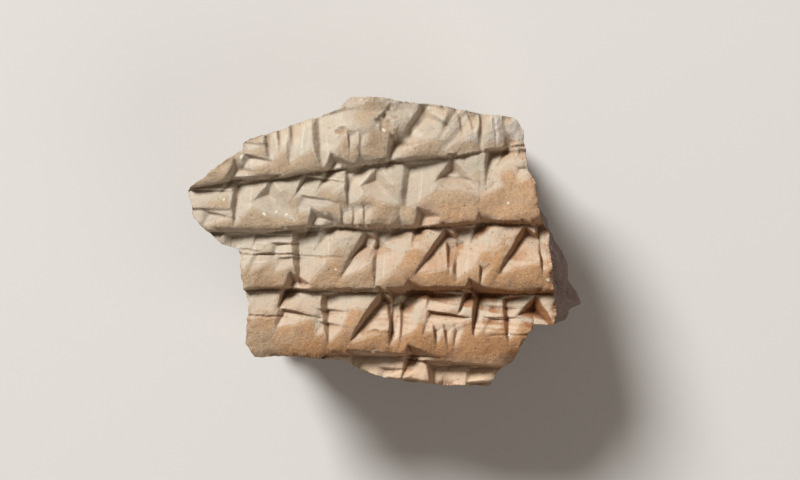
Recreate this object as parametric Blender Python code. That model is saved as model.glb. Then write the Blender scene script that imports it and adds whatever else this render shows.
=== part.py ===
"""A broken piece of a small clay tablet, lying on its back with its written face up."""
import math
import random

import bmesh
import bpy
from mathutils import Vector

# Driving dimensions, in metres
WIDTH = 0.040          # across the face, along the lines of writing
DEPTH = 0.0298         # across the face, from the top break to the bottom break
THICKNESS = 0.017      # from the back to the highest ridge of the face
LINE_PITCH = 0.0065    # from one line of writing to the next
LINE_HOLLOW = 0.00125  # how far the edges of a line lie below its ridge
FACE_CROWN = 0.0009    # how much lower the left and right ends of the face are than its middle
END_CROWN = 0.0007     # how much lower the top and bottom ends of the face are than its middle
FOOT_START = 0.0070    # how far below its middle the face starts to bend away to the lower edge
FOOT_REACH = 0.0079    # how far on from there it has bent away by the foot's drop
FOOT_DROP = 0.0009     # how much lower it is there
BACK_RISE = 0.0022     # height of the back's outer edge above the flat that it rests on
BREAK_LUMPS = 0.0003   # how far the broken sides swell and sink
FACET = 0.0016         # longest straight step around the broken edge

# The broken edge, clockwise from the left tip. Each point has its place across and along the face,
# as shares of half the width and half the depth, and how far the side below it stands out (or, if
# negative, hangs in) half way down, as a share of half the width.
EDGE = (
    (-1.002, 0.353, -0.060), (-0.848, 0.520, -0.050), (-0.722, 0.635, -0.040), (-0.716, 0.681, -0.040),
    (-0.548, 0.766, -0.040), (-0.371, 0.853, -0.050), (-0.232, 0.915, -0.040), (-0.169, 1.002, -0.050),
    (-0.020, 0.986, -0.050), (0.286, 0.953, -0.040), (0.482, 0.886, -0.030), (0.658, 0.860, -0.040),
    (0.700, 0.789, -0.030), (0.721, 0.488, -0.010), (0.764, 0.412, 0.000), (0.780, 0.188, 0.060),
    (0.825, 0.074, 0.047), (0.848, -0.250, 0.145), (0.855, -0.358, 0.190), (0.865, -0.430, 0.115),
    (0.868, -0.500, 0.088), (0.860, -0.570, 0.035), (0.762, -0.560, -0.020), (0.697, -0.683, -0.040),
    (0.645, -0.816, -0.050), (0.565, -0.898, -0.050), (0.533, -0.985, -0.050), (0.269, -0.980, -0.040),
    (0.078, -0.946, -0.050), (-0.083, -0.903, -0.050), (-0.221, -0.812, -0.060), (-0.480, -0.772, -0.050),
    (-0.662, -0.785, -0.050), (-0.705, -0.689, -0.050), (-0.690, -0.407, -0.060), (-0.720, -0.316, -0.060),
    (-0.737, -0.047, -0.070), (-0.823, -0.014, -0.080), (-0.904, 0.084, -0.080), (-0.955, 0.174, -0.070),
    (-0.975, 0.233, -0.070),
)

# Heights of the side's sections, as shares of the thickness, and the back's rings, each with its
# share of the edge's size and its share of the back's rise
SECTIONS = (0.20, 0.30, 0.40, 0.50, 0.60, 0.70, 0.80, 1.08)
UPRIGHT = 0.80         # share of the height above which the broken side stands straight up
LUMP_FADE = 0.2        # share of the height over which its lumps fade out below that
BACK_RINGS = ((0.50, 0.0), (0.78, 0.30), (0.93, 0.65), (1.0, 1.0))
BACK_OVAL = 0.85       # size of the oval that the back's inner rings follow, as a share of the whole

# The lines of writing. Each upper edge has its slope across the face, lies lower than its even place
# by its own sink, and bends in a slow wave.
TOP_LINE = 0.487       # place of the first line's upper edge, as a share of the depth
SLOPES = (0.05, 0.125, 0.025, -0.01, -0.09, -0.09)
SINKS = (0.0012, 0.0, 0.0, 0.0, 0.0003, 0.0)
FOLD_LINE = 4          # line over whose left end the ridge above it is folded down
FOLD_PLACE = -0.0060   # where the fold starts
FOLD_REACH = 0.0014    # how far to the left of that it has sunk in full
FOLD_SINK = 0.0015     # how far the line's upper edge sinks under it
FIRST_VALLEY = 0.0014  # width of the slope above the first line
FIRST_RISE = 0.25      # height of that slope, as a share of the lines' hollow
WAVE = 0.00014         # height of the wave
WAVE_LENGTH = 0.015    # length of one wave
WAVE_SHIFT = 1.9       # turn of the wave from one line to the next, in radians
CREST = 0.62           # place of the ridge within a line, counted from its upper edge
RISE_BEND = 1.5        # power that rounds the rise to the ridge
ROLL_BEND = 4          # power of the oval that rounds the ridge's fall; 2 is an ellipse
LINE_STATIONS = (0.0, 0.12, 0.28, 0.45, 0.62, 0.76, 0.88, 0.96)
COLUMN = 0.0019        # distance between the face's sections along a line
BLOCK_SPREAD = 1.2     # width of the ridged block, as a share of the fragment's

# A swelling of clay at the upper edge, between the first line's strokes: its place across and
# along the face, its reach each way, its height, and the power that broadens its top
SWELL_PLACE = (-0.0019, 0.0133)
SWELL_REACH = (0.0027, 0.0029)
SWELL_RISE = 0.00095
SWELL_BEND = 3

# Strokes of the reed, in groups. Each has the room that it takes along its line, how many strokes
# are stacked in it and the step between them, the place of its head from the start of its room and
# below the line's upper edge, its direction in degrees, its length, the width of its steep and of
# its gentle side, how far towards the tail the gentle side's corner lies, and its depth. Turn is 1
# where the steep side is on the left of a stroke that runs down, and -1 where it is on the other.
STROKES = {
    "wide": dict(room=0.0037, stack=1, step=0.0, head=0.00055, below=0.00025, angle=-90,
                 length=0.0054, steep=0.00062, gentle=0.0038, lean=0.0019, deep=0.0011, turn=1),
    "slim": dict(room=0.0023, stack=1, step=0.0, head=0.0005, below=0.00025, angle=-90,
                 length=0.0049, steep=0.00055, gentle=0.0026, lean=0.0014, deep=0.00095, turn=1),
    "slant": dict(room=0.0044, stack=1, step=0.0, head=0.0041, below=0.00085, angle=-128,
                  length=0.0056, steep=0.0013, gentle=0.0034, lean=0.0, deep=0.00135, turn=1),
    "three": dict(room=0.0054, stack=3, step=0.0014, head=0.0004, below=0.00035, angle=-2,
                  length=0.0062, steep=0.00025, gentle=0.0015, lean=0.0004, deep=0.0006, turn=-1),
    "two": dict(room=0.0044, stack=2, step=0.0019, head=0.0004, below=0.00035, angle=-4,
                length=0.0050, steep=0.0003, gentle=0.0019, lean=0.0004, deep=0.0007, turn=-1),
    "corner": dict(room=0.0040, stack=1, step=0.0, head=0.0008, below=0.0010, angle=-40,
                   length=0.0044, steep=0.0016, gentle=0.0028, lean=0.0, deep=0.0010, turn=-1),
    "gap": dict(room=0.0042, stack=0),
}
HEAD_SLOPE = 0.00035   # how far the deepest point of a stroke lies beyond its head
DEEPER_ACROSS = 7.0    # how much deeper strokes are for each metre to the right, as a share
DEEPER_ALONG = 12.0    # the same for each metre down the face

# Each line's groups in turn, with the place where it starts as a share of half the width
LINES = (
    (-0.825, "two slim slim wide gap slant slant slim wide slant wide"),
    (-1.025, "two slant wide slim corner wide slim slant wide two wide slant"),
    (-0.800, "slim two wide slant wide slant slim wide slant wide two"),
    (-0.750, "gap two slim slant wide two wide slim corner three slim wide"),
    (-0.680, "three slant wide two wide three slant wide three"),
)

# Damage: a flake lost at the upper right corner, and a gap beside the block at the right edge. Each
# is a pit with a deepest point and three points of its rim, as shares of half the width and half
# the depth, and its depth.
FLAKE_DEPTH = 0.0016
GAP_DEPTH = 0.0017
DAMAGE = (
    (((0.730, 0.820), (0.545, 0.620), (0.530, 1.140), (1.000, 0.600)), FLAKE_DEPTH),
    (((0.752, -0.470), (0.750, -0.640), (0.722, -0.385), (0.778, -0.385)), GAP_DEPTH),
)

PIT_REACH = 2          # size of a cutter's mouth against the pit that it leaves, to clear the ridges
CUTTER_RISE = 0.006    # height of the straight shaft above a cutter's mouth

CLAY = (0.50, 0.36, 0.23, 1.0)


def collection_named(name):
    """A new collection in the scene."""
    made = bpy.data.collections.new(name)
    bpy.context.scene.collection.children.link(made)
    return made


def mesh_object(bm, name, collection):
    """Closes off a bmesh as an object, with its faces pointing out."""
    bmesh.ops.recalc_face_normals(bm, faces=bm.faces)
    mesh = bpy.data.meshes.new(name)
    bm.to_mesh(mesh)
    bm.free()
    made = bpy.data.objects.new(name, mesh)
    collection.objects.link(made)
    return made


def upper_edge(line, x):
    """Place along the face of a line's upper edge: a sloping straight line with a slow wave, and a
    smooth step down under the fold."""
    row = min(max(line, 0), len(SLOPES) - 1)
    wave = WAVE * math.sin(2 * math.pi * x / WAVE_LENGTH + WAVE_SHIFT * line)
    sink = SINKS[row]
    if line == FOLD_LINE:
        share = min(max((FOLD_PLACE - x) / FOLD_REACH, 0), 1)
        sink += FOLD_SINK * share**2 * (3 - 2 * share)
    return TOP_LINE * DEPTH - line * LINE_PITCH + SLOPES[row] * x + wave - sink


def line_profile(share):
    """Height of a line's surface against its ridge: it rises from the line's upper edge, and rolls
    over the ridge to its lower edge on a quarter of an oval that is fuller than an ellipse."""
    rise = min(share / CREST, 1)
    fall = min(max((share - CREST) / (1 - CREST), 0), 1)
    roll = 1 - (1 - fall**ROLL_BEND) ** (1 / ROLL_BEND)
    return -LINE_HOLLOW * ((1 - rise) ** RISE_BEND + roll)


def above_lines(distance):
    """Height of the clay at a distance above the first line: a smooth rise to a low level."""
    share = min(distance / FIRST_VALLEY, 1)
    return -LINE_HOLLOW * (1 - FIRST_RISE * share**2 * (3 - 2 * share))


def crown(x, y):
    """How far the whole face lies below its middle, as two parabolas, and a third at its foot."""
    foot = min(max((-y - FOOT_START) / FOOT_REACH, 0), 1)
    return -FACE_CROWN * (2 * x / WIDTH) ** 2 - END_CROWN * (2 * y / DEPTH) ** 2 - FOOT_DROP * foot**2


def swell(x, y):
    """Height of the swelling at the upper edge: a bell with a broad top."""
    across, along = (x - SWELL_PLACE[0]) / SWELL_REACH[0], (y - SWELL_PLACE[1]) / SWELL_REACH[1]
    return SWELL_RISE * math.exp(-(math.hypot(across, along) ** SWELL_BEND))


def line_count():
    """Lines that reach across the face, with one to spare above and below."""
    return math.ceil((TOP_LINE + 0.5) * DEPTH / LINE_PITCH) + 1


def face_height(x, y):
    """Height of the face before the reed is pressed in."""
    height = above_lines(max(y - upper_edge(0, x), 0))
    for line in range(line_count()):
        top, bottom = upper_edge(line, x), upper_edge(line + 1, x)
        if bottom < y <= top:
            height = line_profile((top - y) / (top - bottom))
    return THICKNESS + crown(x, y) + swell(x, y) + height


def edge_points():
    """The broken edge with no step longer than a facet, as places and side bulges in metres."""
    corners = [(x * WIDTH / 2, y * DEPTH / 2, bulge * WIDTH / 2) for x, y, bulge in EDGE]
    points = []
    for here, after in zip(corners, corners[1:] + corners[:1]):
        steps = max(1, math.ceil(math.dist(here[:2], after[:2]) / FACET))
        for step in range(steps):
            share = step / steps
            points.append(tuple(a + (b - a) * share for a, b in zip(here, after)))
    return points


def lumps(angle, share):
    """Swelling of the broken side: a sum of slow waves, mostly inwards, that fades out near the face."""
    waves = (
        math.sin(3 * angle + 1.3 + 4.0 * share)
        + 0.8 * math.sin(7 * angle - 0.6 - 7.0 * share)
        + 0.6 * math.sin(12 * angle + 2.1 + 11.0 * share)
    )
    fade = min(1, max(0, (UPRIGHT - share) / LUMP_FADE))
    return BREAK_LUMPS * (waves - 1) * fade


def side_ring(points, share):
    """The section of the side at a share of the height: the edge moved out from the middle."""
    arch = math.sin(math.pi * min(share / UPRIGHT, 1))
    ring = []
    for x, y, bulge in points:
        reach = math.hypot(x, y)
        grow = 1 + (bulge * arch + lumps(math.atan2(y, x), share)) / reach
        ring.append(Vector((x * grow, y * grow, share * THICKNESS)))
    return ring


def back_place(place, size, height):
    """A point of a back ring: the foot of the side drawn in, and evened out towards an oval."""
    angle = math.atan2(place.y, place.x)
    oval = Vector((math.cos(angle) * WIDTH, math.sin(angle) * DEPTH, 0)) * BACK_OVAL / 2
    drawn = place.lerp(oval, min(1, 2 * (1 - size))) * size
    return Vector((drawn.x, drawn.y, height))


def loft(bm, rings):
    """Skins a stack of rings with faces, and closes both ends."""
    loops = [[bm.verts.new(place) for place in ring] for ring in rings]
    for lower, upper in zip(loops, loops[1:]):
        for i, corner in enumerate(lower):
            j = (i + 1) % len(lower)
            bm.faces.new((corner, lower[j], upper[j], upper[i]))
    bm.faces.new(loops[0][::-1])
    bm.faces.new(loops[-1])


def make_shard(collection):
    """The broken lump itself, with a shallow back, its top still above the face."""
    points = edge_points()
    foot = side_ring(points, BACK_RISE / THICKNESS)
    rings = []
    for size, rise in BACK_RINGS:
        rings.append([back_place(place, size, rise * BACK_RISE) for place in foot])
    rings += [side_ring(points, share) for share in SECTIONS]
    bm = bmesh.new()
    loft(bm, rings)
    return mesh_object(bm, "tablet_fragment", collection)


def make_ridged_block(collection):
    """A block whose top is the face's row of ridges, for cutting the shard to."""
    spread = BLOCK_SPREAD * WIDTH
    columns = math.ceil(spread / COLUMN)
    lines = range(-1, line_count())
    rows = [(line, share) for line in lines for share in LINE_STATIONS]
    bm = bmesh.new()
    bmesh.ops.create_grid(bm, x_segments=columns, y_segments=len(rows) - 1, size=0.5)
    for vert in bm.verts:
        line, share = rows[round((0.5 - vert.co.y) * (len(rows) - 1))]
        x = vert.co.x * spread
        top, bottom = upper_edge(line, x), upper_edge(line + 1, x)
        y = top + (bottom - top) * share
        vert.co = (x, y, face_height(x, y))
    grown = bmesh.ops.extrude_face_region(bm, geom=list(bm.faces))
    for item in grown["geom"]:
        if isinstance(item, bmesh.types.BMVert):
            item.co.z = -THICKNESS / 2
    return mesh_object(bm, "ridged_block", collection)


def pit(name, deepest, depth, rim, collection):
    """A cutter with three flat sides that meet at one deep point and pass through a rim."""
    bottom = Vector((*deepest, face_height(*deepest) - depth))
    bm = bmesh.new()
    bm.verts.new(bottom)
    for x, y in rim:
        corner = Vector((x, y, face_height(x, y)))
        mouth = bottom + (corner - bottom) * PIT_REACH
        bm.verts.new(mouth)
        bm.verts.new(mouth + Vector((0, 0, CUTTER_RISE)))
    bmesh.ops.convex_hull(bm, input=list(bm.verts))
    return mesh_object(bm, name, collection)


def stroke(name, head, kind, chance, collection):
    """One press of the reed, from its head along its direction to its tail."""
    angle = math.radians(kind["angle"] + chance.uniform(-5, 5))
    length = kind["length"] * chance.uniform(0.9, 1.08)
    gentle = kind["gentle"] * chance.uniform(0.9, 1.1)
    depth = kind["deep"] * chance.uniform(0.85, 1.2)
    depth *= 1 + DEEPER_ACROSS * head.x - DEEPER_ALONG * head.y
    along = Vector((math.cos(angle), math.sin(angle)))
    across = Vector((along.y, -along.x)) * kind["turn"]
    deepest = head + along * HEAD_SLOPE
    gentle_corner = head - across * gentle + along * kind["lean"]
    rim = (head + along * length, head + across * kind["steep"], gentle_corner)
    return pit(name, deepest, depth, rim, collection)


def stroke_heads(line, start, groups):
    """Walks along a line and gives each stroke's kind and head."""
    x = start * WIDTH / 2
    for group in groups.split():
        kind = STROKES[group]
        for level in range(kind["stack"]):
            head_x = x + kind["head"]
            head_y = upper_edge(line, head_x) - kind["below"] - level * kind["step"]
            yield kind, Vector((head_x, head_y))
        x += kind["room"]


def make_strokes(collection):
    """Cutters for all the strokes, line by line."""
    chance = random.Random(11)
    for line, (start, groups) in enumerate(LINES):
        for count, (kind, head) in enumerate(stroke_heads(line, start, groups)):
            stroke(f"stroke_{line}_{count}", head, kind, chance, collection)


def make_damage(collection):
    """Cutters for the places where the clay has broken away from the face."""
    for count, (corners, depth) in enumerate(DAMAGE):
        deepest, *rim = [(x * WIDTH / 2, y * DEPTH / 2) for x, y in corners]
        pit(f"damage_{count}", deepest, depth, rim, collection)


def clay():
    """Pale brown, dry, baked clay."""
    material = bpy.data.materials.new("clay")
    material.use_nodes = True
    shader = material.node_tree.nodes["Principled BSDF"]
    shader.inputs["Base Color"].default_value = CLAY
    shader.inputs["Roughness"].default_value = 0.9
    shader.inputs["Metallic"].default_value = 0.0
    return material


def centre_on_floor(part, helpers):
    """Moves the part so that its box is centred and stands on the ground, with its cutters."""
    for helper in helpers:
        helper.parent = part
    bpy.context.view_layer.update()
    shaped = part.evaluated_get(bpy.context.evaluated_depsgraph_get())
    corners = [Vector(corner) for corner in shaped.bound_box]
    lowest = Vector([min(corner[i] for corner in corners) for i in range(3)])
    highest = Vector([max(corner[i] for corner in corners) for i in range(3)])
    middle = (lowest + highest) / 2
    part.location = (-middle.x, -middle.y, -lowest.z)


def main():
    for old in list(bpy.data.objects):
        bpy.data.objects.remove(old)

    parts = collection_named("clay tablet fragment")
    cutters = collection_named("cutters")
    pressed = collection_named("pressed strokes")

    fragment = make_shard(parts)
    fragment.data.materials.append(clay())
    block = make_ridged_block(cutters)
    make_strokes(pressed)
    make_damage(pressed)

    trim = fragment.modifiers.new("face", "BOOLEAN")
    trim.operation = "INTERSECT"
    trim.solver = "EXACT"
    trim.object = block
    press = fragment.modifiers.new("strokes", "BOOLEAN")
    press.operation = "DIFFERENCE"
    press.solver = "EXACT"
    press.operand_type = "COLLECTION"
    press.collection = pressed

    helpers = [block, *pressed.objects]
    for helper in helpers:
        helper.hide_render = True
        helper.display_type = "WIRE"
    centre_on_floor(fragment, helpers)


main()
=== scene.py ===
"""A broken piece of a clay tablet with wedge writing, lying on its back under a studio light."""
import math
import random

import bpy
import numpy as np
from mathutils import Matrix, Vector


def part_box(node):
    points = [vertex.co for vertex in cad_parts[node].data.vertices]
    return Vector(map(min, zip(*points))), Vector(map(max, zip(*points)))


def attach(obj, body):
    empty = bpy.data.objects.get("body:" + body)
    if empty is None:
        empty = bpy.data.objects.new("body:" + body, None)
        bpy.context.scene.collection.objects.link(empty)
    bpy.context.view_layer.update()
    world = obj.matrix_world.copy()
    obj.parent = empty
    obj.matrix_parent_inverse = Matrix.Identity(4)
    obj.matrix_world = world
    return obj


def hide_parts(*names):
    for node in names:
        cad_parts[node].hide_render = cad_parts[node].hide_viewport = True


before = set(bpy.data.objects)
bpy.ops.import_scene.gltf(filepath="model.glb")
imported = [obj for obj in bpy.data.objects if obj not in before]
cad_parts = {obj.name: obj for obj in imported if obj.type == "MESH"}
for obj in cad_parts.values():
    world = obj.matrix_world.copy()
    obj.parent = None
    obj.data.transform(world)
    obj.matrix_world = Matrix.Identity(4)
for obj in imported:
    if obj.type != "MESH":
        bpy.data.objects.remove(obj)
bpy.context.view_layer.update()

# The broken edge. The piece was snapped out of a tablet that fitted in a hand. Its edge runs
# fairly straight through dense clay, steps where it met a stroke, and is ragged with torn grains.
WIDTH = 0.040
DEPTH = 0.0298
THICKNESS = 0.017

# Place across and along the face, clockwise from the left tip, and how far the side below stands
# out about half way down, as shares of half the width, half the depth and half the width
EDGE = (
    (-1.002, 0.353, -0.060), (-0.848, 0.520, -0.050), (-0.722, 0.635, -0.040), (-0.716, 0.681, -0.040),
    (-0.548, 0.766, -0.040), (-0.371, 0.853, -0.050), (-0.232, 0.915, -0.040), (-0.169, 1.002, -0.050),
    (-0.020, 0.986, -0.050), (0.285, 0.943, -0.040), (0.482, 0.886, -0.030), (0.658, 0.860, -0.040),
    (0.700, 0.789, -0.030), (0.721, 0.488, -0.010), (0.764, 0.412, 0.000), (0.780, 0.188, 0.060),
    (0.834, 0.078, 0.047), (0.848, -0.250, 0.145), (0.855, -0.358, 0.190), (0.865, -0.430, 0.115),
    (0.868, -0.500, 0.088), (0.860, -0.570, 0.035), (0.762, -0.560, -0.020), (0.697, -0.683, -0.040),
    (0.645, -0.816, -0.050), (0.565, -0.898, -0.050), (0.533, -0.985, -0.050), (0.269, -0.980, -0.040),
    (0.078, -0.946, -0.050), (-0.083, -0.903, -0.050), (-0.221, -0.812, -0.060), (-0.480, -0.772, -0.050),
    (-0.662, -0.785, -0.050), (-0.705, -0.689, -0.050), (-0.690, -0.407, -0.060), (-0.720, -0.316, -0.060),
    (-0.737, -0.047, -0.070), (-0.823, -0.014, -0.080), (-0.904, 0.084, -0.080), (-0.966, 0.167, -0.070),
    (-0.975, 0.233, -0.070),
)
LEFT_TIP, TOP_RIGHT, BOTTOM_RIGHT, BOTTOM_LEFT = 0, 12, 26, 32
EDGE_STEP = 0.00004
EDGE_ROUNDING = 0.00020
EDGE_TEAR = 0.00012
TEAR_INWARD = 0.3
# How many faces the mesh of the written face has across and along
ACROSS, ALONG = 292, 234
# Lumps are given here and below as layers, each with its strength, its size and its seed
EDGE_TEARS = ((1.0, 0.0009, 0), (0.6, 0.00038, 1), (0.35, 0.00018, 2))
# What scrambles the numbers behind the lumps, and how far one seed's lumps lie from the next's
SCRAMBLE = (73856093, 19349663, 83492791)
STIR = 1274126177
LARGEST = 0x7FFFFFFF
SEEDS_APART = 31.7


def eased(share):
    """A share from 0 to 1 with a soft start and end: 3s^2 - 2s^3."""
    return share * share * (3 - 2 * share)


def lattice(i, j, k):
    """A fixed scrambled number from -1 to 1 for each whole-numbered corner of space."""
    n = i * SCRAMBLE[0] ^ j * SCRAMBLE[1] ^ k * SCRAMBLE[2]
    n = ((n ^ (n >> 13)) & LARGEST) * STIR
    return (n & LARGEST) / (LARGEST // 2) - 1


def rough(x, y, z, cell, seed):
    """Smooth lumps from -1 to 1: scrambled numbers at a lattice's corners, blended inside each cell
    by eased shares of the way across it."""
    place = np.stack(np.broadcast_arrays(x, y, z)) / cell + SEEDS_APART * (seed + 1)
    corner = np.floor(place).astype(np.int64)
    share = eased(place - corner)
    total = 0
    for i in (0, 1):
        for j in (0, 1):
            for k in (0, 1):
                weight = 1
                for axis, side in enumerate((i, j, k)):
                    weight = weight * (share[axis] if side else 1 - share[axis])
                total = total + weight * lattice(corner[0] + i, corner[1] + j, corner[2] + k)
    return total


def lumpy(x, y, z, layers):
    """Layers of rough lumps, each with its strength, size and seed, added up."""
    return sum(strength * rough(x, y, z, cell, seed) for strength, cell, seed in layers)


def even_run(points, count):
    """Points at equal distances along a chain of points, from its first to its last."""
    steps = np.linalg.norm(np.diff(points[:, :2], axis=0), axis=1)
    reach = np.concatenate([[0], np.cumsum(steps)])
    places = np.linspace(0, reach[-1], count)
    return np.stack([np.interp(places, reach, column) for column in points.T], axis=1)


def bell(reach):
    """Weights that fall off to both sides as a raised cosine and add up to 1."""
    weights = np.hanning(2 * reach + 3)[1:-1]
    return weights / weights.sum()


def rounded(points, width):
    """A closed chain with its corners rounded by averaging each point with those near it."""
    reach = max(1, round(width / EDGE_STEP))
    padded = np.concatenate([points[-reach:], points, points[:reach]])
    return np.stack([np.convolve(column, bell(reach), "valid") for column in padded.T], axis=1)


def torn(points):
    """The rounded edge with grains torn out: each point moved in or out from the middle."""
    x, y = points[:, 0], points[:, 1]
    grow = 1 + EDGE_TEAR * (lumpy(x, y, 0, EDGE_TEARS) - TEAR_INWARD) / np.hypot(x, y)
    return np.stack([x * grow, y * grow], axis=1)


corners = np.array(EDGE) * (WIDTH / 2, DEPTH / 2, WIDTH / 2)
closed = np.concatenate([corners, corners[:1]])
edge_length = np.linalg.norm(np.diff(closed[:, :2], axis=0), axis=1).sum()
smooth_edge = rounded(even_run(closed, round(edge_length / EDGE_STEP) + 1)[:-1], EDGE_ROUNDING)
# Each row holds the torn place, the bulge of the side below, and the smooth place
edge = np.concatenate([torn(smooth_edge), smooth_edge[:, 2:], smooth_edge[:, :2]], axis=1)


def corner_at(number):
    """Where along the fine edge one of its corners lies."""
    return int(np.argmin(np.hypot(*(smooth_edge[:, :2] - corners[number, :2]).T)))


def edge_between(first, last, count):
    """The fine edge from one corner clockwise to another."""
    a, b = corner_at(first), corner_at(last)
    run = edge[a:b + 1] if a < b else np.concatenate([edge[a:], edge[:b + 1]])
    return even_run(run, count)


top = edge_between(LEFT_TIP, TOP_RIGHT, ACROSS + 1)
right = edge_between(TOP_RIGHT, BOTTOM_RIGHT, ALONG + 1)[::-1]
bottom = edge_between(BOTTOM_RIGHT, BOTTOM_LEFT, ACROSS + 1)[::-1]
left = edge_between(BOTTOM_LEFT, LEFT_TIP, ALONG + 1)

# The written face. The scribe ruled it in lines, and each line's clay rose to a ridge under its
# strokes, so that the lines overlap like tiles, with a deep seam where one meets the next.
LINE_PITCH = 0.0065
LINE_HOLLOW = 0.00125
FACE_CROWN = 0.0009
END_CROWN = 0.0007
TOP_LINE = 0.487
# How each line's upper edge climbs to the right, and how far it lies below its even place
SLOPES = (0.05, 0.125, 0.025, -0.01, -0.09, -0.09)
SINKS = (0.0012, 0.0, 0.0, 0.0, 0.0003, 0.0)
# The line whose left end has the ridge above folded over it, and where and how far it is
FOLD_LINE, FOLD_PLACE, FOLD_REACH, FOLD_SINK = 4, -0.0060, 0.0014, 0.0015
WAVE = 0.00014
WAVE_LENGTH = 0.015
WAVE_SHIFT = 1.9
CREST = 0.62
RISE_BEND = 1.5
ROLL_BEND = 6
LINE_COUNT = 6
EDGE_WOBBLE = 0.00016
WOBBLES = ((1.0, 0.0022, 3), (0.5, 0.0008, 4))
SEAM_DEPTH = 0.00020
SEAM_SET = 0.00010
SEAM_WIDTH = 0.00014
SEAM_EVEN = 0.55
SEAM_CHANGES = ((0.45, 0.0021, 16),)
RIDGE_SWELLS = ((0.00012, 0.0031, 17),)
FIRST_VALLEY = 0.0014
FIRST_RISE = 0.25
SWELL_PLACE = (-0.0019, 0.0133)
SWELL_REACH = (0.0027, 0.0029)
SWELL_RISE = 0.00095
SWELL_BEND = 3
SWELL_SHARE = 0.4
FOOT_START = -0.0070
FOOT_REACH = 0.0079
FOOT_DROP = 0.0009


def upper_edge(line, x):
    """Place of a line's upper edge: a sloping straight line with a slow wave, and an eased step down
    where the ridge above is folded over it."""
    row = min(line, len(SLOPES) - 1)
    wave = WAVE * np.sin(2 * math.pi * x / WAVE_LENGTH + WAVE_SHIFT * line)
    fold = np.clip((FOLD_PLACE - x) / FOLD_REACH, 0, 1) * (line == FOLD_LINE)
    sink = SINKS[row] + FOLD_SINK * eased(fold)
    return TOP_LINE * DEPTH - line * LINE_PITCH + SLOPES[row] * x + wave - sink


def crown(x, y):
    """How far the whole face lies below its middle, as two parabolas."""
    return -FACE_CROWN * (2 * x / WIDTH) ** 2 - END_CROWN * (2 * y / DEPTH) ** 2


def ridged(x, y, wobble=0.0):
    """Height of the ruled face, and how far down its line each point lies. Each line rises from its
    upper edge to its ridge and rolls over it to the next line, on a quarter of an oval that is
    fuller than an ellipse. The seam there is a groove with the section of a bell curve. Above the
    first line the clay rises again to a low level, with one broad swelling squeezed up by the
    strokes beside it. From the fourth line down the face bends away to the tablet's lower edge."""
    height, down = np.full(np.shape(x), -LINE_HOLLOW), np.zeros(np.shape(x))
    for line in range(LINE_COUNT):
        above, below = upper_edge(line, x) + wobble, upper_edge(line + 1, x) + wobble
        share = np.clip((above - y) / (above - below), 0, 1)
        rise = np.clip(share / CREST, 0, 1)
        fall = np.clip((share - CREST) / (1 - CREST), 0, 1)
        roll = 1 - (1 - fall**ROLL_BEND) ** (1 / ROLL_BEND)
        profile = -LINE_HOLLOW * ((1 - rise) ** RISE_BEND + roll)
        inside = (y <= above) & (y > below)
        height, down = np.where(inside, profile, height), np.where(inside, share, down)
        if line > 0:
            strength = SEAM_EVEN + lumpy(x, line, 0, SEAM_CHANGES)
            height -= SEAM_DEPTH * strength * np.exp(-(((above - y - SEAM_SET) / SEAM_WIDTH) ** 2))
    beyond = np.clip((y - upper_edge(0, x) - wobble) / FIRST_VALLEY, 0, 1)
    height += LINE_HOLLOW * FIRST_RISE * eased(beyond)
    away = np.hypot((x - SWELL_PLACE[0]) / SWELL_REACH[0], (y - SWELL_PLACE[1]) / SWELL_REACH[1])
    swell = np.exp(-(away**SWELL_BEND))
    height += SWELL_RISE * swell
    down = np.maximum(down, SWELL_SHARE * swell)
    foot = np.clip((FOOT_START - y) / FOOT_REACH, 0, 1)
    return THICKNESS + crown(x, y) + height - FOOT_DROP * foot**2, down


def patch(low_side, high_side, left_side, right_side):
    """A grid stretched between four edges: the blend across plus the blend along, less the blend of
    the four corners that both have counted."""
    u = np.linspace(0, 1, len(low_side))[:, None, None]
    v = np.linspace(0, 1, len(left_side))[None, :, None]
    across = (1 - u) * left_side[None] + u * right_side[None]
    along = (1 - v) * low_side[:, None] + v * high_side[:, None]
    ends = (1 - v) * low_side[0] + v * high_side[0]
    far_ends = (1 - v) * low_side[-1] + v * high_side[-1]
    return across + along - (1 - u) * ends - u * far_ends


face_x, face_y = np.moveaxis(patch(bottom[:, :2], top[:, :2], left[:, :2], right[:, :2]), 2, 0)
wobble = EDGE_WOBBLE * lumpy(face_x, face_y, 0, WOBBLES)
face_z, line_share = ridged(face_x, face_y, wobble)
face_z += lumpy(face_x, face_y, 0, RIDGE_SWELLS)

# The strokes. A cut reed with a square end was pressed into the damp clay, which left a wedge with
# one steep and one gentle side that run out to a tail. They fill the lines without being letters.
# How far a stroke's deepest point lies past its head, and how far its pit reaches behind the head
HEAD_SLOPE = 0.00035
HEAD_REACH = 0.00045
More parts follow.
